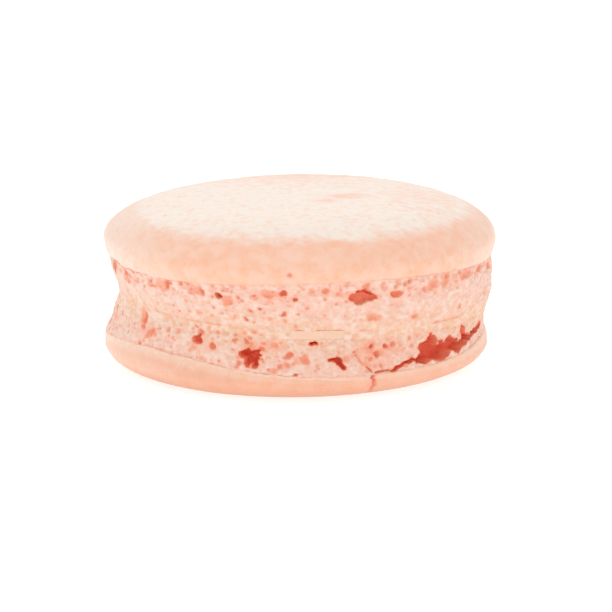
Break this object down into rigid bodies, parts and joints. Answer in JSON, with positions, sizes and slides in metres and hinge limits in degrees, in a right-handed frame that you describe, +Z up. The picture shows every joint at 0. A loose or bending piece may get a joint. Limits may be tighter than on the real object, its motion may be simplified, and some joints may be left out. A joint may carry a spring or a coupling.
{
  "type": "french macaron",
  "caption": "Round almond meringue sandwich biscuit: a smooth crust on a porous ruffled foot above and below a thin leaning layer of cream, lying flat.",
  "frame": {"origin": "middle of the macaron's footprint, on the table that its lower crown rests on", "axes": "+Z up along the macaron's axis, -Y towards the side shown, +X to that side's right"},
  "size_m": [0.0448, 0.0452, 0.0193],
  "materials": {
    "almond_shell": "dry baked meringue, pale peach, matte with a faint sheen",
    "cream": "soft beige cream, matte"
  },
  "bodies": {
    "root": {"top_shell": "almond_shell", "cream": "cream", "bottom_shell": "almond_shell"}
  },
  "joints": []
}
